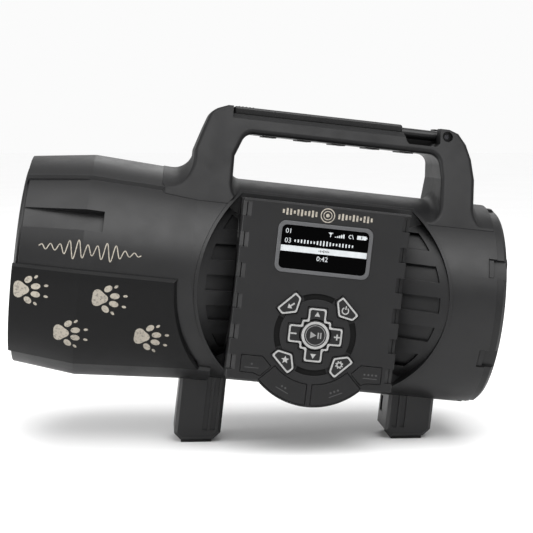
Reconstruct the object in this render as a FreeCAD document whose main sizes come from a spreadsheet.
"""Portable electronic game caller: a horn-speaker barrel on two legs, with a carrying handle, a folding
antenna along the handle, a battery door at the rear, and a keypad remote that sits in a round dock.

Millimetres. Every piece is drawn in the barrel's own frame: X runs along the barrel from the horn mouth
to the rear, Z is up from the barrel's axis, and -Y faces the dock. Each finished piece is then placed
with the same tilt and shift, so that the object stands on its two legs with the horn raised.
"""
import FreeCAD, Part
import math
import os
import re
import Sketcher

SIZES = {
    # stance
    "body_tilt": 6.3, "floor_drop": 96.0, "shift_x": 35.73,
    # barrel and horn
    "barrel_radius": 63.3, "wall": 3.0, "rim_x": -181.0, "rim_radius": 62.2, "crease_x": -144.5,
    "crease_radius": 67.0, "taper_end_x": -80.0, "shell_end_x": 104.0, "spine_rise": 2.3,
    "spine_half_angle": 35.5, "spine_bevel": 1.6, "spine_front_x": -182.5, "spine_end_x": -61.2,
    "reach": 150.0,
    "recess_end_x": -134.0, "recess_radius": 61.4, "recess_low": 22.5, "recess_high": 34.0,
    "armour_rise": 3.4, "armour_front_x": -184.0, "armour_top": -2.1, "armour_low": 54.0,
    "armour_gap": 87.5, "armour_end_x": -45.0,
    # horn mouth
    "bezel_front_x": -184.0, "bezel_radius": 58.4, "mouth_radius": 54.5, "grille_x": -179.0,
    "grille_thick": 2.0, "grille_pitch": 6.6, "grille_slot": 4.4, "throat_x": -100.0, "throat_radius": 15.0,
    "magnet_radius": 36.0, "magnet_end_x": -70.0,
    # rear cap and battery door
    "tab_depth": 5.4, "tab_half_angle": 5.6, "cap_end_x": 110.5, "cap_radius": 62.4, "bay_half_y": 34.0,
    "bay_half_z": 31.0, "door_gap": 0.4, "door_thick": 4.0, "door_half_y": 38.0, "door_half_z": 34.0,
    "door_corner": 6.0, "door_edge": 1.2, "hinge_out": 3.2, "hinge_drop": 39.0, "hinge_radius": 2.6,
    "pin_radius": 1.2, "running_gap": 0.05,
    # inside the barrel
    "cell_radius": 13.0, "cell_spot": 14.0, "cell_start": 43.4, "cell_end": 93.4, "contact_thick": 1.4,
    "holder_start": 38.0, "holder_end": 100.0, "holder_half_y": 30.0, "holder_half_z": 29.0, "board_y": 6.0,
    "board_thick": 1.6, "board_start": -60.0, "board_end": 34.0, "board_half": 40.0,
    # handle
    "handle_top": 104.3, "handle_crown": 109.0, "handle_under": 92.4, "handle_half_top": 16.0,
    "handle_flare": 0.40, "rib_pitch": 21.7, "rib_width": 8.7, "rib_half_depth": 13.0, "rib_drop": 0.8,
    "leg_base": 79.0, "front_leg_face": -84.6, "rear_leg_face": 90.3, "front_root": 12.0, "other_root": 5.5,
    "opening_left": -59.8, "opening_right": 69.2, "opening_top_left": -54.0, "opening_top_right": 66.8,
    "opening_low": 71.0, "opening_bend": 78.0, "opening_round": 7.2, "skin_rise": 0.8,
    "skin_front_x": -102.0, "skin_end_x": 103.0,
    "notch_left": 46.5, "notch_right": 67.5, "notch_floor": 97.4, "notch_wall_top": 102.8,
    # antenna
    "blade_left": -62.4, "blade_right": 44.3, "blade_half_width": 11.0, "neck_radius": 3.3,
    "pivot_x": 72.2, "pivot_z": 104.4, "knuckle_radius": 4.2, "knuckle_half": 5.4, "slot_half": 6.0,
    "antenna_pin_radius": 1.5, "antenna_pin_half": 14.0,
    # dock
    "dock_z": 2.2, "dock_radius": 77.5, "lip_rise": 0.9, "lip_width": 2.0, "dock_back_y": -28.0,
    "dock_floor_y": -43.7, "dock_floor_thick": 3.7, "dock_hollow": 31.0, "dock_back_wall": 2.5,
    "crescent_depth": 10.5, "pocket_depth": 2.4, "pocket_half": 4.7, "pocket_inset": 7.0,
    # remote
    "remote_x": -3.8, "remote_half": 49.8, "remote_top": 54.6, "remote_bottom": -52.0,
    "remote_face_y": -68.0, "remote_split_y": -57.0, "remote_back_y": -44.0, "remote_gap": 0.35,
    "remote_wall": 2.2,
    "keys_x": -3.4, "keys_z": -21.8, "bump_radius": 43.6, "notch_pitch": 18.2, "notch_tall": 9.0,
    "notch_wide": 5.0, "notch_deep": 4.6, "ring_outer": 24.6, "ring_inner": 21.0, "ring_depth": 0.9,
    "screen_left": -32.2, "screen_right": 24.6, "screen_low": 13.5, "screen_high": 44.2,
    "screen_round": 4.6, "frame_width": 2.4, "hatch_half": 25.7, "hatch_low": -15.7, "hatch_high": 23.7,
    "hatch_gap": 0.3,
    # keys
    "key_proud": 1.0, "hot_proud": 0.5, "key_back_y": -63.6, "key_gap": 0.4, "flange": 0.9,
    "flange_thick": 1.0,
    "tip_near": 14.1, "tip_far": 24.8, "side_near": 10.25, "side_far": 21.2, "heel": 12.2,
    "arm_reach": 16.3, "arm_half": 5.6, "hub_half": 9.0, "enter_radius": 8.8, "enter_gap": 0.8,
    "enter_proud": 1.5, "enter_back_y": -65.0, "stem_radius": 3.0, "stem_end_y": -63.5,
    "pivot_ring_outer": 7.5, "pivot_ring_inner": 4.2, "pivot_ring_near_y": -63.6, "pivot_ring_far_y": -63.2,
    "hot_outer": 42.2, "hot_inner": 30.0, "hot_gap_half": 1.8,
    # legs
    "front_leg_x": -63.9, "rear_leg_x": 69.3, "leg_half": 14.5, "leg_half_depth": 17.0, "leg_corner": 4.2,
    "pad_thick": 2.0, "groove_width": 3.2, "groove_depth": 1.2,
}
TAB_ANGLES = (26.0, 78.0, 102.0, 154.0, 206.0, 258.0, 282.0, 334.0)
TURN = {
    "x": (FreeCAD.Vector(0, 1, 0), 90),
    "y": (FreeCAD.Vector(1, 0, 0), -90),
    "z": (FreeCAD.Vector(0, 0, 1), 0)}
PLANES = {"x": "YZ_Plane", "y": "XZ_Plane", "z": "XY_Plane"}

doc = FreeCAD.newDocument("game_caller")
sheet = doc.addObject("Spreadsheet::Sheet", "Dims")
for row, (alias, value) in enumerate(SIZES.items(), start=1):
    sheet.set("A%d" % row, alias)
    sheet.set("B%d" % row, str(value))
    sheet.setAlias("B%d" % row, alias)
doc.recompute()
nodes = []


def size(alias):
    """The value of one cell of the sheet."""
    return float(sheet.get(alias))


def linked(expression):
    """The same expression, with every alias in it pointing at the sheet."""
    def pointed(word):
        return "Dims." + word.group() if word.group() in SIZES else word.group()

    return re.sub(r"[a-z][a-z_]*", pointed, expression)


def bind(item, expressions):
    for prop, expression in expressions.items():
        item.setExpression(prop, linked(expression))


# ---------------------------------------------------------------- primitives
def box(name, x, y, z):
    """A block between two expressions on each axis."""
    item = doc.addObject("Part::Box", name)
    for side, base, (low, high) in (("Length", "x", x), ("Width", "y", y), ("Height", "z", z)):
        bind(item, {side: "(%s)-(%s)" % (high, low), "Placement.Base." + base: low})
    return item


def round_bar(name, axis, centre, start, end, radius, tip=None):
    """A cylinder along one axis, or a cone when the tip has a radius of its own."""
    item = doc.addObject("Part::Cylinder" if tip is None else "Part::Cone", name)
    turn_axis, angle = TURN[axis]
    item.Placement.Rotation = FreeCAD.Rotation(turn_axis, angle)
    bind(item, {"Radius": radius} if tip is None else {"Radius1": radius, "Radius2": tip})
    others = [letter for letter in "xyz" if letter != axis]
    bind(item, {"Height": "(%s)-(%s)" % (end, start), "Placement.Base." + axis: start,
                "Placement.Base." + others[0]: centre[0], "Placement.Base." + others[1]: centre[1]})
    return item


def sketched(body, axis, points):
    """A closed outline on one of the body's own planes, each corner tied to two expressions."""
    plane = [feature for feature in body.Origin.OriginFeatures if feature.Role == PLANES[axis]][0]
    sketch = body.newObject("Sketcher::SketchObject", body.Name + "_outline")
    sketch.AttachmentSupport = (plane, [""])
    sketch.MapMode = "FlatFace"
    count = len(points)
    step = 2 * math.pi / count
    rough = [FreeCAD.Vector(10 * math.cos(step * i), 10 * math.sin(step * i), 0) for i in range(count)]
    for i in range(count):
        sketch.addGeometry(Part.LineSegment(rough[i], rough[(i + 1) % count]))
    for i in range(count):
        sketch.addConstraint(Sketcher.Constraint("Coincident", i, 2, (i + 1) % count, 1))
    for i, corner in enumerate(points):
        for kind, expression in zip(("DistanceX", "DistanceY"), corner):
            start = rough[i].x if kind == "DistanceX" else rough[i].y
            index = sketch.addConstraint(Sketcher.Constraint(kind, -1, 1, i, 1, start))
            sketch.setExpression("Constraints[%d]" % index, linked(expression))
    return sketch


def prism(name, axis, points, start, end):
    """An outline pushed along an axis from one expression to another."""
    body = doc.addObject("PartDesign::Body", name)
    sketch = sketched(body, axis, points)
    # the XZ plane faces -Y, so its outline starts from the far side
    bind(sketch, {"AttachmentOffset.Base.z": "-(%s)" % end if axis == "y" else start})
    pad = body.newObject("PartDesign::Pad", name + "_pad")
    pad.Profile = sketch
    bind(pad, {"Length": "(%s)-(%s)" % (end, start)})
    return body


def turned(name, points):
    """A solid of revolution about the barrel's axis, from an outline of (x, radius) corners."""
    body = doc.addObject("PartDesign::Body", name)
    sketch = sketched(body, "y", points)
    feature = body.newObject("PartDesign::Revolution", name + "_turn")
    feature.Profile = sketch
    feature.ReferenceAxis = (sketch, ["H_Axis"])
    feature.Angle = 360
    return body


def fuse(name, *items):
    item = doc.addObject("Part::MultiFuse", name)
    item.Shapes = list(items)
    return item


def common(name, *items):
    item = doc.addObject("Part::MultiCommon", name)
    item.Shapes = list(items)
    return item


def cut(name, base, *tools):
    item = doc.addObject("Part::Cut", name)
    item.Base = base
    item.Tool = tools[0] if len(tools) == 1 else fuse(name + "_tools", *tools)
    return item


def eased(name, base, radius, wanted, kind="Fillet"):
    """Rounds or chamfers the edges whose middle point and direction pass the test."""
    doc.recompute()
    item = doc.addObject("Part::" + kind, name)
    item.Base = base
    edges = []
    for number, edge in enumerate(base.Shape.Edges, start=1):
        middle = edge.valueAt((edge.FirstParameter + edge.LastParameter) / 2)
        along = edge.tangentAt((edge.FirstParameter + edge.LastParameter) / 2)
        if wanted(middle, along, edge):
            edges.append((number, radius, radius))
    item.Edges = edges
    return item


def sector(name, low, high, start="-reach*1.4", end="reach"):
    """A wedge about the barrel's axis; angles go from -Y towards +Z."""
    points = [("0", "0")]
    for angle in (low, high):
        points.append(("-reach*cos(%s)" % angle, "reach*sin(%s)" % angle))
    return prism(name, "x", points, start, end)


def part(label, item):
    """Gives a finished piece its name and the object's shared placement."""
    if item.TypeId in ("Part::Box", "Part::Cylinder", "Part::Cone"):
        holder = doc.addObject("Part::Compound", label + "_piece")
        holder.Links = [item]
        item = holder
    for namesake in doc.getObjectsByLabel(label):
        namesake.Label = label + "_blank"
    item.Label = label
    lean = FreeCAD.Rotation(FreeCAD.Vector(0, 1, 0), 1)
    item.Placement = FreeCAD.Placement(FreeCAD.Vector(0, 0, 0), lean)
    bind(item, {"Placement.Rotation.Angle": "body_tilt", "Placement.Base.x": "shift_x",
                "Placement.Base.z": "floor_drop"})
    nodes.append(item)
    return item


def near(value, target, margin=0.05):
    return abs(value - target) < margin


# ---------------------------------------------------------------- barrel shells
core = turned("core", [
    ("rim_x", "rim_radius"), ("crease_x", "crease_radius"), ("taper_end_x", "barrel_radius"),
    ("shell_end_x", "barrel_radius"), ("shell_end_x", "barrel_radius-wall"),
    ("taper_end_x", "barrel_radius-wall"), ("crease_x", "rim_radius-wall"), ("rim_x", "rim_radius-wall")])
spine_ring = turned("spine_ring", [
    ("spine_front_x", "rim_radius+spine_rise"), ("crease_x", "crease_radius+spine_rise"),
    ("taper_end_x", "barrel_radius+spine_rise"), ("spine_end_x", "barrel_radius+spine_rise"),
    ("spine_end_x", "barrel_radius-1"), ("taper_end_x", "barrel_radius-1"),
    ("crease_x", "crease_radius-1"), ("spine_front_x", "rim_radius-1")])
spines = fuse("spines", sector("spine_over", "(90-spine_half_angle)", "(90+spine_half_angle)"),
              sector("spine_under", "(-90-spine_half_angle)", "(spine_half_angle-90)"))
raised = eased("raised", common("raised_blank", spine_ring, spines), size("spine_bevel"),
               lambda middle, along, edge: (
                   abs(along.x) > 0.9
                   and math.hypot(middle.y, middle.z) > size("barrel_radius") + 1), "Chamfer")
recess_ring = turned("recess_ring", [
    ("rim_x-10", "recess_radius"), ("rim_x-10", "recess_radius+20"), ("recess_end_x", "recess_radius+20"),
    ("recess_end_x", "recess_radius")])
recess = common("recess", recess_ring, fuse(
    "recess_sectors", sector("recess_left", "recess_low", "recess_high"),
    sector("recess_right", "(180-recess_high)", "(180-recess_low)")))
tab_ring = turned("tab_ring", [
    ("shell_end_x-tab_depth", "barrel_radius-wall-2"), ("shell_end_x+1", "barrel_radius-wall-2"),
    ("shell_end_x+1", "barrel_radius+4"), ("shell_end_x-tab_depth", "barrel_radius+4")])
tab_sectors = fuse("tab_sectors", *[
    sector("tab_%d" % angle, "(%g-tab_half_angle)" % angle, "(%g+tab_half_angle)" % angle)
    for angle in TAB_ANGLES])
tab_slots = common("tab_slots", tab_ring, tab_sectors)
whole_shell = cut("whole_shell", fuse("shell_blank", core, raised), recess, tab_slots)
dock_bore = round_bar("dock_bore", "y", ("0", "dock_z"), "-reach", "dock_back_y", "dock_radius")

left_side = box("left_side", ("-2*reach", "2*reach"), ("-reach", "0"), ("-reach", "reach"))
right_side = box("right_side", ("-2*reach", "2*reach"), ("0", "reach"), ("-reach", "reach"))
part("left_shell", cut("left_shell", common("left_half", whole_shell, left_side), dock_bore))
part("right_shell", common("right_shell", whole_shell, right_side))

# ---------------------------------------------------------------- side armour
armour_ring = turned("armour_ring", [
    ("armour_front_x", "rim_radius+armour_rise"), ("crease_x", "crease_radius+armour_rise"),
    ("taper_end_x", "barrel_radius+armour_rise"), ("armour_end_x", "barrel_radius+armour_rise"),
    ("armour_end_x", "barrel_radius"), ("taper_end_x", "barrel_radius"), ("crease_x", "crease_radius"),
    ("rim_x", "rim_radius"), ("armour_front_x", "rim_radius")])
armour_bore = round_bar("armour_bore", "y", ("0", "dock_z"), "-reach", "reach", "armour_gap")
armour_bevel = 1.9


def armour(label, low, high):
    """A raised side panel over the horn, cut round where the dock begins."""
    blank = cut(label, common(label + "_ring", armour_ring, sector(label + "_sector", low, high)),
                armour_bore, raised)
    top = -math.tan(math.radians(size("armour_top")))

    def outer_edge(middle, along, edge):
        radius = math.hypot(middle.y, middle.z)
        on_top = near(middle.z / abs(middle.y), top, 0.004)
        on_arc = near(math.hypot(middle.x, middle.z - size("dock_z")), size("armour_gap"), 0.1)
        return radius > size("barrel_radius") + 3 and (on_top or on_arc) and edge.Length > 6

    part(label, eased(label + "_bevelled", blank, armour_bevel, outer_edge, "Chamfer"))


armour("side_armour_left", "-armour_low", "-armour_top")
armour("side_armour_right", "(180+armour_top)", "(180+armour_low)")

# ---------------------------------------------------------------- horn mouth
part("front_bezel", turned("front_bezel", [
    ("bezel_front_x", "mouth_radius"), ("bezel_front_x", "bezel_radius"),
    ("bezel_front_x+1.4", "bezel_radius+1.2"), ("rim_x+0.6", "rim_radius-wall"),
    ("rim_x+5", "rim_radius-wall"), ("rim_x+5", "mouth_radius+1.5"), ("grille_x-0.2", "mouth_radius+1.5"),
    ("grille_x-0.2", "mouth_radius")]))
grille_disc = round_bar("grille_disc", "x", ("0", "0"), "grille_x", "grille_x+grille_thick",
                        "mouth_radius+1.2")
grille_slots = []
for ring in range(1, 8):
    outer = round_bar("slot_outer_%d" % ring, "x", ("0", "0"), "grille_x-1", "grille_x+grille_thick+1",
                      "%d*grille_pitch+grille_slot" % ring)
    inner = round_bar("slot_inner_%d" % ring, "x", ("0", "0"), "grille_x-2", "grille_x+grille_thick+2",
                      "%d*grille_pitch" % ring)
    grille_slots.append(cut("slot_ring_%d" % ring, outer, inner))
spokes = []
for number in range(4):
    spoke = box("spoke_%d" % number, ("grille_x-3", "grille_x+grille_thick+3"), ("-reach/2", "reach/2"),
                ("-1.2", "1.2"))
    turned_spoke = doc.addObject("Part::Compound", "spoke_turned_%d" % number)
    turned_spoke.Links = [spoke]
    turned_spoke.Placement.Rotation = FreeCAD.Rotation(FreeCAD.Vector(1, 0, 0), 45 * number + 22.5)
    spokes.append(turned_spoke)
part("front_grille", cut("front_grille", grille_disc, cut(
    "grille_windows", fuse("grille_rings", *grille_slots), *spokes)))
part("horn_flare", turned("horn_flare", [
    ("grille_x+grille_thick+1", "mouth_radius+1"), ("grille_x+12", "mouth_radius-10"),
    ("grille_x+30", "mouth_radius-24"), ("grille_x+52", "mouth_radius-34"), ("throat_x", "throat_radius"),
    ("throat_x", "throat_radius+2"), ("grille_x+52", "mouth_radius-32"), ("grille_x+30", "mouth_radius-22"),
    ("grille_x+12", "mouth_radius-7.6"), ("grille_x+grille_thick+3", "mouth_radius+3"),
    ("grille_x+grille_thick+1", "mouth_radius+3")]))
part("phase_plug", turned("phase_plug", [
    ("throat_x-46", "0"), ("throat_x-42", "3.5"), ("throat_x-26", "8"), ("throat_x-6", "10"),
    ("throat_x-2", "9"), ("throat_x-2", "0")]))
part("driver_diaphragm", turned("driver_diaphragm", [
    ("throat_x-0.6", "0"), ("throat_x-0.6", "8"), ("throat_x+2", "throat_radius+8"),
    ("throat_x+3.4", "throat_radius+8"), ("throat_x+1", "8"), ("throat_x+1", "0")]))
part("driver_magnet", turned("driver_magnet", [
    ("throat_x+4", "0"), ("throat_x+4", "throat_radius+15"), ("throat_x+8", "magnet_radius"),
    ("magnet_end_x-2", "magnet_radius"), ("magnet_end_x", "magnet_radius-2"), ("magnet_end_x", "0")]))

# ---------------------------------------------------------------- rear cap and battery door
cap_blank = turned("cap_blank", [
    ("shell_end_x", "0"), ("shell_end_x", "cap_radius"), ("cap_end_x-2.2", "cap_radius"),
    ("cap_end_x", "cap_radius-2.2"), ("cap_end_x", "0")])
notch_ring = turned("notch_ring", [
    ("shell_end_x-2", "cap_radius-1.6"), ("shell_end_x-2", "cap_radius+9"), ("cap_end_x+2", "cap_radius+9"),
    ("cap_end_x+2", "cap_radius-1.6")])
cap_notches = common("cap_notches", notch_ring, tab_sectors)
clip_ring = turned("clip_ring", [
    ("shell_end_x-tab_depth+0.4", "barrel_radius-wall-1"), ("shell_end_x+1", "barrel_radius-wall-1"),
    ("shell_end_x+1", "barrel_radius-0.8"), ("shell_end_x-tab_depth+0.4", "barrel_radius-0.8")])
clip_sectors = fuse("clip_sectors", *[
    sector("clip_%d" % angle, "(%g-tab_half_angle+0.4)" % angle, "(%g+tab_half_angle-0.4)" % angle)
    for angle in TAB_ANGLES])
clips = common("clips", clip_ring, clip_sectors)
skirt = turned("skirt", [
    ("shell_end_x-8", "barrel_radius-wall-4"), ("shell_end_x", "barrel_radius-wall-4"),
    ("shell_end_x", "barrel_radius-wall-0.3"), ("shell_end_x-8", "barrel_radius-wall-0.3")])
bay = box("bay", ("shell_end_x-20", "cap_end_x+2"), ("-bay_half_y", "bay_half_y"),
          ("-bay_half_z", "bay_half_z"))
hinge_axis = ("cap_end_x+hinge_out", "-hinge_drop")
hinge_ears = [
    cut("hinge_ear_%d" % number,
        fuse("hinge_lug_%d" % number,
             round_bar("ear_round_%d" % number, "y", hinge_axis, low, high, "hinge_radius"),
             box("ear_foot_%d" % number, ("cap_end_x-1", "cap_end_x+hinge_out"), (low, high),
                 ("-hinge_drop-hinge_radius", "-hinge_drop+hinge_radius"))),
        round_bar("ear_hole_%d" % number, "y", hinge_axis, low + "-1", high + "+1",
                  "pin_radius"))
    for number, (low, high) in enumerate((("-24", "-16"), ("16", "24")))]
catch_lip = box("catch_lip", ("cap_end_x-1", "cap_end_x+1.2"), ("-5", "5"),
                ("door_half_z+3.6", "door_half_z+6"))
cap_plate = cut("cap_plate", fuse("cap_solid", cap_blank, skirt, clips), cap_notches, bay)
part("rear_cap", fuse("rear_cap", cap_plate, catch_lip, *hinge_ears))

door_front = "cap_end_x+door_gap"
door_plate = eased("door_plate", box(
    "door_box", (door_front, door_front + "+door_thick"), ("-door_half_y", "door_half_y"),
    ("-door_half_z", "door_half_z")), size("door_corner"), lambda middle, along, edge: abs(along.x) > 0.9)
door_soft = eased("door_soft", door_plate, size("door_edge"),
                  lambda middle, along, edge: middle.x > size("cap_end_x") + 4)
door_arms = [
    cut("door_knuckle_%d" % number,
        fuse("door_arm_%d" % number,
             round_bar("arm_round_%d" % number, "y", hinge_axis, low, high, "hinge_radius"),
             box("arm_web_%d" % number, ("cap_end_x+hinge_out", "cap_end_x+4.2"), (low, high),
                 ("-hinge_drop", "-door_half_z+1"))),
        round_bar("arm_hole_%d" % number, "y", hinge_axis, low + "-1", high + "+1",
                  "pin_radius+running_gap"))
    for number, (low, high) in enumerate((("-15.6", "-6"), ("6", "15.6")))]
door_tab = box("door_tab", ("cap_end_x+1.6", "cap_end_x+3.4"), ("-7", "7"),
               ("door_half_z-1", "door_half_z+7"))
part("battery_door", fuse("battery_door", door_soft, door_tab, *door_arms))
part("door_seal", cut(
    "door_seal",
    box("seal_outer", ("cap_end_x-1.6", door_front), ("2-bay_half_y", "bay_half_y-2"),
        ("2-bay_half_z", "bay_half_z-2")),
    box("seal_inner", ("cap_end_x-3", "cap_end_x+2"), ("4.4-bay_half_y", "bay_half_y-4.4"),
        ("4.4-bay_half_z", "bay_half_z-4.4"))))
part("door_pin", round_bar("door_pin", "y", hinge_axis, "-24", "24", "pin_radius"))

# ---------------------------------------------------------------- power and sound inside the barrel
CELL_SPOTS = [(side_y + "cell_spot", side_z + "cell_spot") for side_y in ("-", "") for side_z in ("-", "")]
cell_bores = [round_bar("cell_bore_%d" % number, "x", spot, "cell_start-contact_thick", "holder_end+2",
                        "cell_radius+0.3") for number, spot in enumerate(CELL_SPOTS)]
part("battery_holder", cut("battery_holder", box(
    "holder_block", ("holder_start", "holder_end"), ("-holder_half_y", "holder_half_y"),
    ("-holder_half_z", "holder_half_z")), *cell_bores))
for number, spot in enumerate(CELL_SPOTS, start=1):
    part("battery_cell_%d" % number, fuse(
        "cell_%d" % number,
        round_bar("cell_can_%d" % number, "x", spot, "cell_start", "cell_end", "cell_radius"),
        round_bar("cell_cap_%d" % number, "x", spot, "cell_end", "cell_end+1.6", "4")))
part("battery_contacts", fuse("battery_contacts", *[
    round_bar("contact_%d" % number, "x", spot, "cell_start-contact_thick", "cell_start", "6")
    for number, spot in enumerate(CELL_SPOTS)]))
part("main_board", box("main_board", ("board_start", "board_end"), ("board_y", "board_y+board_thick"),
                       ("-board_half", "board_half")))
board_face = "board_y+board_thick"
part("board_components", fuse("board_components", *[
    box("component_%d" % number, x, (board_face, depth), z) for number, (x, depth, z) in enumerate((
        (("-52", "-34"), "15", ("-30", "-8")), (("-26", "-14"), "10", ("-30", "-18")),
        (("-52", "-40"), "19", ("10", "34")), (("-8", "18"), "11", ("-12", "14"))))]))

# ---------------------------------------------------------------- handle
FRONT_SHOULDER = (-76.3, 105.0)
handle_outline = [
    ("skin_front_x", "40"), ("skin_front_x", "leg_base"), ("front_leg_face", "leg_base"), ("-80.4", "93.0"),
    ("%g" % FRONT_SHOULDER[0], "%g" % FRONT_SHOULDER[1]), ("-66.0", "handle_crown"),
    ("blade_left-0.5", "handle_crown"), ("blade_left-0.5", "handle_top"), ("notch_left-2", "handle_top"),
    ("notch_left", "notch_floor+1.5"), ("notch_left+1.5", "notch_floor"), ("notch_right-2", "notch_floor"),
    ("notch_right", "notch_floor+2"), ("notch_right", "handle_crown"), ("73.6", "handle_crown"),
    ("79.2", "107.0"), ("84.3", "100.6"), ("87.9", "91.5"), ("rear_leg_face", "leg_base"),
    ("skin_end_x", "leg_base"), ("skin_end_x", "40")]
handle_slab = prism("handle_slab", "y", handle_outline, "-60", "60")
shoulder_round = 11.0
handle_bows = eased("handle_bows", handle_slab, shoulder_round, lambda middle, along, edge: (
    abs(along.y) > 0.9 and math.hypot(middle.x - FRONT_SHOULDER[0], middle.z - FRONT_SHOULDER[1]) < 0.5))
half_low = "(handle_half_top+handle_flare*(handle_crown-40))"
handle_taper = prism("handle_taper", "x", [
    ("-handle_half_top", "handle_crown"), ("handle_half_top", "handle_crown"), (half_low, "40"),
    ("-" + half_low, "40")], "-110", "110")
opening_blank = prism("opening_blank", "y", [
    ("opening_left", "opening_low"), ("opening_left", "opening_bend"), ("opening_top_left", "handle_under"),
    ("opening_top_right", "handle_under"), ("opening_right", "opening_bend"),
    ("opening_right", "opening_low")], "-70", "70")
opening = eased("opening", opening_blank, size("opening_round"),
                lambda middle, along, edge: abs(along.y) > 0.9 and middle.z > size("handle_under") - 1)


def saddle_cut(name, left, right, top, left_base, right_base, root):
    """The space beside a leg of the handle, turned about the barrel so that the leg's root follows it."""
    blank = turned(name + "_blank", [(left, left_base), (left, top), (right, top), (right, right_base)])

    def root_edge(middle, along, edge):
        return math.hypot(middle.y, middle.z) < size("barrel_radius") + 7 and edge.Length > 100

    return eased(name, blank, size(root), root_edge)


front_skin = "barrel_radius+spine_rise+%s"
plain_skin = "barrel_radius+skin_rise"
saddles = [
    saddle_cut("front_saddle", "-140", "front_leg_face", "leg_base+20",
               front_skin % "3.8", front_skin % "0.6", "front_root"),
    saddle_cut("grip_saddle", "opening_left", "opening_right", "opening_bend+0.5", plain_skin, plain_skin,
               "other_root"),
    saddle_cut("rear_saddle", "rear_leg_face", "130", "leg_base+20", plain_skin, plain_skin, "other_root")]
handle_blank = cut("handle_blank", common("handle_block", handle_bows, handle_taper), opening, *saddles)


def handle_side_edge(middle, along, edge):
    """The long edges of both sides, apart from the grip's upper edges and the ends of the skin."""
    half = size("handle_half_top") + size("handle_flare") * (size("handle_crown") - middle.z)
    outside = middle.x < size("blade_left") - 1 or middle.x > 75.0
    on_grip_top = middle.z > size("handle_under") + 0.5 and not outside
    on_skin_end = middle.x > size("skin_end_x") - 3.5
    return near(abs(middle.y), half) and middle.z > 41 and not on_grip_top and not on_skin_end


def seat_edge(middle, along, edge):
    return near(middle.z, size("handle_top")) and edge.Length > 100


handle_rounded = eased("handle_rounded", handle_blank, 2.6, handle_side_edge)
handle_soft = eased("handle_soft", handle_rounded, 3.2, seat_edge, "Chamfer")
pivot = ("pivot_x", "pivot_z")
pivot_slot = box("pivot_slot", ("notch_right-3", "pivot_x+knuckle_radius+1.2"), ("-slot_half", "slot_half"),
                 ("pivot_z-knuckle_radius-0.6", "handle_crown+2"))
pin_bore = round_bar("pin_bore", "y", pivot, "-antenna_pin_half", "antenna_pin_half",
                     "antenna_pin_radius")
pin_sinks = [round_bar("pin_sink_%s" % side, "y", pivot, low, high, "3.2")
             for side, low, high in (
                 ("left", "-30", "-antenna_pin_half"), ("right", "antenna_pin_half", "30"))]
catch_pocket = box("catch_pocket", ("blade_left-6.4", "blade_left-1.4"), ("-7", "7"),
                   ("handle_top-0.6", "handle_crown+3"))
neck_channel = box("neck_channel", ("blade_right-5", "notch_left+2"),
                   ("-neck_radius-0.5", "neck_radius+0.5"),
                   ("pivot_z-neck_radius-0.5", "handle_crown"))
grip_middle = "(opening_left+opening_right)/2"
ribs = []
for number in (-2, -1, 0, 1, 2):
    centre = "%s+%g*rib_pitch" % (grip_middle, number)
    ribs.append(box("rib_%d" % number, (centre + "-rib_width/2", centre + "+rib_width/2"),
                    ("-rib_half_depth", "rib_half_depth"), ("handle_under-rib_drop", "handle_under+1")))
notch_wall = box("notch_wall", ("notch_left-1", "notch_right+1"), ("9", "14"),
                 ("notch_floor-1", "notch_wall_top"))
shell_envelope = fuse("shell_envelope", core, raised, round_bar(
    "barrel_fill", "x", ("0", "0"), "-110", "shell_end_x", "barrel_radius"))
part("handle_frame", fuse("handle_frame", cut(
    "handle_cut", handle_soft, shell_envelope, dock_bore, pivot_slot, pin_bore, catch_pocket, neck_channel,
    *pin_sinks), notch_wall, *ribs))
part("antenna_pin", round_bar("antenna_pin", "y", pivot, "-antenna_pin_half",
                              "antenna_pin_half", "antenna_pin_radius"))

# ---------------------------------------------------------------- antenna
blade = eased("blade", box(
    "blade_bar", ("blade_left", "blade_right"), ("-blade_half_width", "blade_half_width"),
    ("handle_top+0.3", "handle_crown")), 1.6,
    lambda middle, along, edge: middle.z > size("handle_crown") - 0.1 or abs(along.z) > 0.9)
neck = round_bar("neck", "x", ("0", "pivot_z"), "blade_right-4", "pivot_x", "neck_radius")
knuckle = round_bar("knuckle", "y", pivot, "-knuckle_half", "knuckle_half", "knuckle_radius")
knuckle_bore = round_bar("knuckle_bore", "y", pivot, "-knuckle_half-1", "knuckle_half+1",
                         "antenna_pin_radius+running_gap")
part("antenna_blade", cut("antenna_blade", blade, round_bar(
    "neck_socket", "x", ("0", "pivot_z"), "blade_right-4", "blade_right+1", "neck_radius")))
part("antenna_neck", cut("antenna_neck", fuse("neck_solid", neck, knuckle), knuckle_bore))

# ---------------------------------------------------------------- dock
dock_disc = round_bar("dock_disc", "y", ("0", "dock_z"), "-reach", "dock_back_y", "dock_radius")
dock_skin = round_bar("dock_skin", "x", ("0", "0"), "-reach", "reach", "barrel_radius+lip_rise")
rest_block = box("rest_block", ("remote_x-remote_half+0.4", "remote_x+remote_half-0.4"),
                 ("dock_floor_y", "dock_back_y"), ("remote_bottom+1", "remote_top-1"))
remote_left = "remote_x-remote_half-remote_gap"
remote_right = "remote_x+remote_half+remote_gap"


def crescent(name, sink, inset):
    """The dished band each side of the remote, bounded by a circle inside the dock's rim."""
    dish = turned(name + "_dish", [
        ("lip_width-dock_radius", "barrel_radius-0.5-%s" % sink),
        (remote_left, "barrel_radius-crescent_depth-%s" % sink),
        (remote_right, "barrel_radius-crescent_depth-%s" % sink),
        ("dock_radius-lip_width", "barrel_radius-0.5-%s" % sink),
        ("dock_radius-lip_width", "barrel_radius+12"), ("lip_width-dock_radius", "barrel_radius+12")])
    return common(name, dish, round_bar(name + "_round", "y", ("0", "dock_z"), "-reach",
                                        "dock_back_y-dock_back_wall", "dock_radius-%s" % inset))


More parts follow.
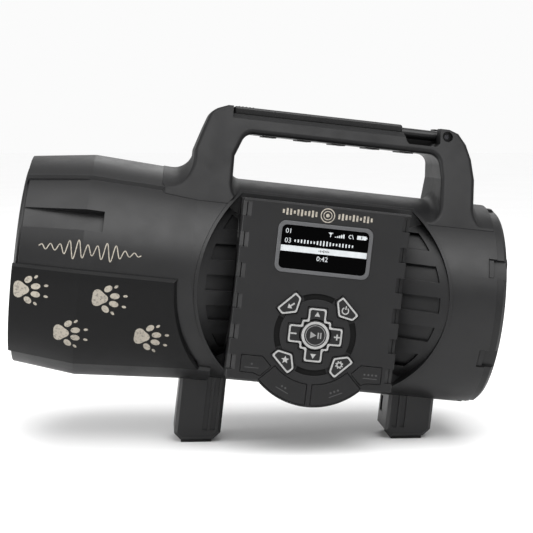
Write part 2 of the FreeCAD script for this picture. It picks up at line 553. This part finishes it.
pocket_rows = fuse("pocket_rows", *[
    box("pocket_row_%s_%d" % (side, number), edges, ("-reach", "0"),
        ("dock_z+%d*notch_pitch-pocket_half" % number, "dock_z+%d*notch_pitch+pocket_half" % number))
    for number in (-2, -1, 0, 1, 2)
    for side, edges in (("left", ("-dock_radius", remote_left)), ("right", (remote_right, "dock_radius")))])
pockets = common("pockets", crescent("deep_band", "pocket_depth", "pocket_inset"), pocket_rows)
seat = box("seat", (remote_left, remote_right), ("-reach", "dock_floor_y"), ("-reach", "reach"))
dock_hollow = box("dock_hollow", ("-reach", "reach"), ("dock_floor_y+dock_floor_thick", "0"),
                  ("-dock_hollow", "dock_hollow"))
dock_body = cut("dock_body", common("dock_cap", dock_disc, dock_skin), crescent("band", "0", "lip_width"),
                pockets, seat)
dock_solid = cut("dock_solid", fuse("dock_filled", dock_body, rest_block), dock_hollow)
for name, low, high in (("dock_band_left", "-reach", remote_left),
                        ("dock_floor", remote_left, remote_right),
                        ("dock_band_right", remote_right, "reach")):
    part(name, common(name, dock_solid, box(
        name + "_slice", (low, high), ("-reach", "0"), ("-reach", "reach"))))

# ---------------------------------------------------------------- remote housing
keys_centre = ("keys_x", "keys_z")


def remote_slab(name, near_y, far_y, inset="0"):
    """The remote's outline: a panel with a round chin about the keys."""
    panel = box(name + "_panel", ("remote_x-remote_half+" + inset, "remote_x+remote_half-" + inset),
                (near_y, far_y), ("remote_bottom+" + inset, "remote_top-" + inset))
    chin = round_bar(name + "_chin", "y", keys_centre, near_y, far_y, "bump_radius-" + inset)
    return fuse(name, panel, chin)


def corner_key(name, side, up, near_y, far_y, grow="0"):
    """A five-sided key on a diagonal of the pad, its point towards the middle."""
    outline = [("tip_near-0.6*({0})", "tip_far+{0}"), ("side_near-{0}", "side_far+0.4*({0})"),
               ("heel-{0}", "heel-{0}"), ("side_far+0.4*({0})", "side_near-{0}"),
               ("tip_far+{0}", "tip_near-0.6*({0})")]
    points = [("keys_x+%d*(%s)" % (side, x.format(grow)), "keys_z+%d*(%s)" % (up, z.format(grow)))
              for x, z in outline]
    return prism(name, "y", points, near_y, far_y)


def cross_key(name, near_y, far_y, grow="0"):
    """The four-way key: a hub with four arms."""
    reach_out = "arm_reach+" + grow
    return fuse(
        name,
        box(name + "_hub", ("keys_x-hub_half-" + grow, "keys_x+hub_half+" + grow), (near_y, far_y),
            ("keys_z-hub_half-" + grow, "keys_z+hub_half+" + grow)),
        box(name + "_across", ("keys_x-(%s)" % reach_out, "keys_x+(%s)" % reach_out), (near_y, far_y),
            ("keys_z-arm_half-" + grow, "keys_z+arm_half+" + grow)),
        box(name + "_upright", ("keys_x-arm_half-" + grow, "keys_x+arm_half+" + grow), (near_y, far_y),
            ("keys_z-(%s)" % reach_out, "keys_z+(%s)" % reach_out)))


def side_hot_key(name, side, near_y, far_y, grow="0"):
    """An outer hot key, cut by the diagonal seam on its inner side."""
    outline = [("41.9+{0}", "15.8-{0}"), ("29.5-0.4*({0})", "15.8-{0}"), ("24.2-{0}", "21.1-0.4*({0})"),
               ("30.2-0.4*({0})", "27.1+{0}"), ("34.1", "25.7+{0}"), ("41.9+{0}", "25.5+{0}")]
    points = [("keys_x+%d*(%s)" % (side, x.format(grow)), "keys_z-(%s)" % z.format(grow))
              for x, z in outline]
    return prism(name, "y", points, near_y, far_y)


def arc_hot_key(name, side, near_y, far_y, grow="0", outer="hot_outer"):
    """An inner hot key: a piece of the ring along the chin, from the middle gap to the diagonal seam."""
    disc = round_bar(name + "_outer", "y", keys_centre, near_y, far_y, outer + "+" + grow)
    bore = round_bar(name + "_inner", "y", keys_centre, near_y + "-1", far_y + "+1", "hot_inner-" + grow)
    ring = cut(name + "_ring", disc, bore)
    wedge = prism(name + "_wedge", "y", [
        ("keys_x+%d*(hot_gap_half-(%s))" % (side, grow), "keys_z-20"),
        ("keys_x+%d*(20.8+1.4*(%s))" % (side, grow), "keys_z-20"),
        ("keys_x+%d*(45.8+1.4*(%s))" % (side, grow), "keys_z-45"),
        ("keys_x+%d*(45.8+1.4*(%s))" % (side, grow), "keys_z-50"),
        ("keys_x+%d*(hot_gap_half-(%s))" % (side, grow), "keys_z-50")], near_y + "-0.5", far_y + "+0.5")
    return common(name, ring, wedge)


def enter_bar(name, near_y, far_y, radius):
    return round_bar(name, "y", keys_centre, near_y, far_y, radius)


corner_keys = {"back_key": (-1, 1), "power_key": (1, 1), "favourite_key": (-1, -1), "settings_key": (1, -1)}
side_hot_keys = {"hot_key_left": -1, "hot_key_right": 1}
arc_hot_keys = {"hot_key_mid_left": -1, "hot_key_mid_right": 1}
wall_out = "remote_face_y-1"
wall_in = "remote_face_y+remote_wall+0.5"
key_holes = [corner_key(name + "_hole", side, up, wall_out, wall_in, "key_gap")
             for name, (side, up) in corner_keys.items()]
key_holes += [side_hot_key(name + "_hole", side, wall_out, wall_in, "key_gap")
              for name, side in side_hot_keys.items()]
key_holes += [arc_hot_key(name + "_hole", side, wall_out, wall_in + "+0.8", "key_gap")
              for name, side in arc_hot_keys.items()]
key_holes.append(cross_key("cross_hole", wall_out, wall_in, "key_gap"))

front_blank = eased("front_blank", remote_slab("front_slab", "remote_face_y", "remote_split_y"), 1.0,
                    lambda middle, along, edge: near(middle.y, size("remote_face_y")))
grip_notches = []
for number in range(6):
    low = "remote_top-1.4-%d*notch_pitch-notch_tall" % number
    for side, edge in ((-1, "remote_x-remote_half"), (1, "remote_x+remote_half")):
        grip_notches.append(prism("grip_%d_%s" % (number, "left" if side < 0 else "right"), "z", [
            ("%s-%d*(notch_wide)" % (edge, side), "remote_face_y-0.1"),
            ("%s+%d*(0.5)" % (edge, side), "remote_face_y-0.1"),
            ("%s+%d*(0.5)" % (edge, side), "remote_face_y+notch_deep+0.46")], low, low + "+notch_tall"))
cavity = remote_slab("front_cavity", "remote_face_y+remote_wall", "remote_split_y+1", "remote_wall")
groove = cut(
    "groove",
    enter_bar("groove_outer", "remote_face_y-1", "remote_face_y+ring_depth", "ring_outer"),
    enter_bar("groove_inner", "remote_face_y-2", "remote_face_y+ring_depth+1", "ring_inner"))
screen_hole = eased("screen_hole", box(
    "screen_block", ("screen_left", "screen_right"), (wall_out, wall_in), ("screen_low", "screen_high")),
    size("screen_round"), lambda middle, along, edge: abs(along.y) > 0.9)
part("remote_front_shell", cut("remote_front_shell", front_blank, cavity, groove, screen_hole,
                               *(key_holes + grip_notches)))
back_blank = eased("back_blank", remote_slab("back_slab", "remote_split_y", "remote_back_y", "0.4"), 2.5,
                   lambda middle, along, edge: near(middle.y, size("remote_back_y")))
part("remote_back_shell", cut(
    "remote_back_shell", back_blank,
    remote_slab("back_cavity", "remote_split_y-1", "remote_back_y-remote_wall", "remote_wall+0.4"),
    box("hatch_hole", ("remote_x-hatch_half-hatch_gap", "remote_x+hatch_half+hatch_gap"),
        ("remote_back_y-4", "remote_back_y+1"), ("hatch_low-hatch_gap", "hatch_high+hatch_gap"))))
part("remote_hatch", box("remote_hatch", ("remote_x-hatch_half", "remote_x+hatch_half"),
                         ("remote_back_y-remote_wall", "remote_back_y"), ("hatch_low", "hatch_high")))

# ---------------------------------------------------------------- screen
screen_edge = "0.15"
bezel_block = eased("bezel_block", box(
    "bezel_slab", ("screen_left+" + screen_edge, "screen_right-" + screen_edge),
    ("remote_face_y-0.4", "remote_face_y+remote_wall"),
    ("screen_low+" + screen_edge, "screen_high-" + screen_edge)),
    size("screen_round") - 0.1, lambda middle, along, edge: abs(along.y) > 0.9)
window_hole = eased("window_hole", box(
    "window_block", ("screen_left+frame_width", "screen_right-frame_width"),
    ("remote_face_y-2", "remote_face_y+remote_wall+2"),
    ("screen_low+frame_width", "screen_high-frame_width")),
    3.0, lambda middle, along, edge: abs(along.y) > 0.9)
bezel_soft = eased("bezel_soft", bezel_block, 0.3,
                   lambda middle, along, edge: near(middle.y, size("remote_face_y") - 0.4))
part("screen_bezel", cut("screen_bezel", bezel_soft, window_hole))
part("screen_window", eased("screen_window", box(
    "window_pane", ("screen_left+frame_width+0.1", "screen_right-frame_width-0.1"),
    ("remote_face_y+0.3", "remote_face_y+1.7"),
    ("screen_low+frame_width+0.1", "screen_high-frame_width-0.1")),
    2.9, lambda middle, along, edge: abs(along.y) > 0.9))
part("lcd_module", box("lcd_module", ("screen_left+1", "screen_right-1"),
                       ("remote_face_y+remote_wall+0.2", "remote_face_y+remote_wall+3"),
                       ("screen_low+1", "screen_high-1")))

# ---------------------------------------------------------------- keys
flange_near = "remote_face_y+remote_wall+0.15"


for name, (side, up) in corner_keys.items():
    part(name, fuse(
        name, corner_key(name + "_cap", side, up, "remote_face_y-key_proud", "key_back_y"),
        corner_key(name + "_flange", side, up, flange_near, flange_near + "+flange_thick", "flange")))
for name, side in side_hot_keys.items():
    part(name, fuse(
        name, side_hot_key(name + "_cap", side, "remote_face_y-hot_proud", "key_back_y"),
        side_hot_key(name + "_flange", side, flange_near, flange_near + "+flange_thick", "0.7*flange")))
for name, side in arc_hot_keys.items():
    # the chin's wall stands close outside these keys, so only the cap reaches over it
    part(name, fuse(
        name, arc_hot_key(name + "_cap", side, "remote_face_y-hot_proud", flange_near + "+0.15"),
        arc_hot_key(name + "_flange", side, flange_near, "key_back_y", "0.7*flange", "hot_outer-1.9")))
cross = eased("cross", cross_key("cross_blank", "remote_face_y-key_proud", "key_back_y-0.6"), 0.4,
              lambda middle, along, edge: near(middle.y, size("remote_face_y") - size("key_proud")))
part("dpad_key", cut("dpad_key", cross, enter_bar("enter_hole", "-reach", "0", "enter_radius+enter_gap")))
part("dpad_pivot_ring", cut(
    "dpad_pivot_ring",
    enter_bar("pivot_outer", "pivot_ring_near_y", "pivot_ring_far_y", "pivot_ring_outer"),
    enter_bar("pivot_inner", "pivot_ring_near_y-1", "pivot_ring_far_y+1", "pivot_ring_inner")))
enter_disc = enter_bar("enter_disc", "remote_face_y-enter_proud", "enter_back_y", "enter_radius")
enter_head = eased("enter_head", enter_disc, 0.5, lambda middle, along, edge: near(
    middle.y, size("remote_face_y") - size("enter_proud")))
part("enter_key", fuse(
    "enter_key", enter_head, enter_bar("enter_stem", "enter_back_y-0.2", "stem_end_y", "stem_radius")))

# ---------------------------------------------------------------- inside the remote
part("keypad_mat", box("keypad_mat", ("remote_x-44", "remote_x+44"), ("-62.6", "-61.4"), ("-46", "6")))
part("remote_board", box("remote_board", ("remote_x-45", "remote_x+45"), ("-61.2", "-59.6"), ("-46", "46")))
for number, z in enumerate((-2.0, 10.0), start=1):
    part("remote_cell_%d" % number, fuse(
        "remote_cell_%d" % number,
        round_bar("remote_can_%d" % number, "x", ("-52", "%g" % z), "remote_x-21", "remote_x+21", "5"),
        round_bar("remote_nub_%d" % number, "x", ("-52", "%g" % z), "remote_x+21", "remote_x+22", "2")))


# ---------------------------------------------------------------- legs
def floor_at(x, lift="0"):
    """Height of the ground in the barrel's tilted frame, at a place along the barrel."""
    return "((%s)*sin(body_tilt)-floor_drop+(%s))/cos(body_tilt)" % (x, lift)


def leg(label, middle, inner_side):
    left, right = middle + "-leg_half", middle + "+leg_half"
    left_toe, right_toe = left + "+leg_corner", right + "-leg_corner"
    post = prism(label + "_post", "y", [
        (left, "-40"), (right, "-40"), (right, floor_at(right, "leg_corner+pad_thick")),
        (right_toe, floor_at(right_toe, "pad_thick")), (left_toe, floor_at(left_toe, "pad_thick")),
        (left, floor_at(left, "leg_corner+pad_thick"))], "-leg_half_depth", "leg_half_depth")
    eased_post = eased(label + "_eased", post, 2.0, lambda middle_point, along, edge: near(
        abs(middle_point.y), size("leg_half_depth")) and middle_point.z < -41, "Chamfer")
    grooves = []
    for number, offset in enumerate((5.2, 10.0)):
        place = "%s%+d*(leg_half-%g)" % (middle, inner_side, offset)
        for face, (low, high) in (("near", ("-reach", "groove_depth-leg_half_depth")),
                                  ("far", ("leg_half_depth-groove_depth", "reach"))):
            grooves.append(box("%s_groove_%s_%d" % (label, face, number),
                               (place + "-groove_width/2", place + "+groove_width/2"), (low, high),
                               (floor_at(place, "8"), "-40")))
    side = "%s%+d*(leg_half-3)" % (middle, inner_side)
    slot_edges = (side, side + "+8") if inner_side > 0 else (side + "-8", side)
    side_slot = box(label + "_side_slot", slot_edges, ("4", "11"), (floor_at(side, "14"), "-66"))
    part(label, cut(label, eased_post, shell_envelope, side_slot, *grooves))
    part(label + "_pad", eased(label + "_pad_eased", prism(label + "_pad_blank", "y", [
        (left_toe + "+0.6", floor_at(left_toe + "+0.6")),
        (right_toe + "-0.6", floor_at(right_toe + "-0.6")),
        (right_toe + "-0.6", floor_at(right_toe + "-0.6", "pad_thick")),
        (left_toe + "+0.6", floor_at(left_toe + "+0.6", "pad_thick"))], "3.2-leg_half_depth",
        "leg_half_depth-3.2"), 1.0, lambda middle_point, along, edge: abs(along.z) > 0.9))


leg("front_leg", "front_leg_x", 1)
leg("rear_leg", "rear_leg_x", -1)

# ---------------------------------------------------------------- checks and export
doc.recompute()
failed = []
for item in doc.Objects:
    if "Invalid" in item.State or "Error" in item.State:
        failed.append("%s %s" % (item.Name, item.State))
if failed:
    raise RuntimeError("could not be built: " + ", ".join(failed))
os.makedirs("parts", exist_ok=True)
for item in nodes:
    if item.Shape.isNull() or not item.Shape.isValid() or not item.Shape.Solids:
        raise RuntimeError("%s has no sound solid" % item.Label)
    item.Shape.exportStep("parts/%s.step" % item.Label)
whole = nodes[0].Shape.BoundBox
for item in nodes[1:]:
    whole.add(item.Shape.BoundBox)
print("nodes", len(nodes))
corners = (whole.XMin, whole.XMax, whole.YMin, whole.YMax, whole.ZMin, whole.ZMax)
print("box", [round(value, 2) for value in corners])
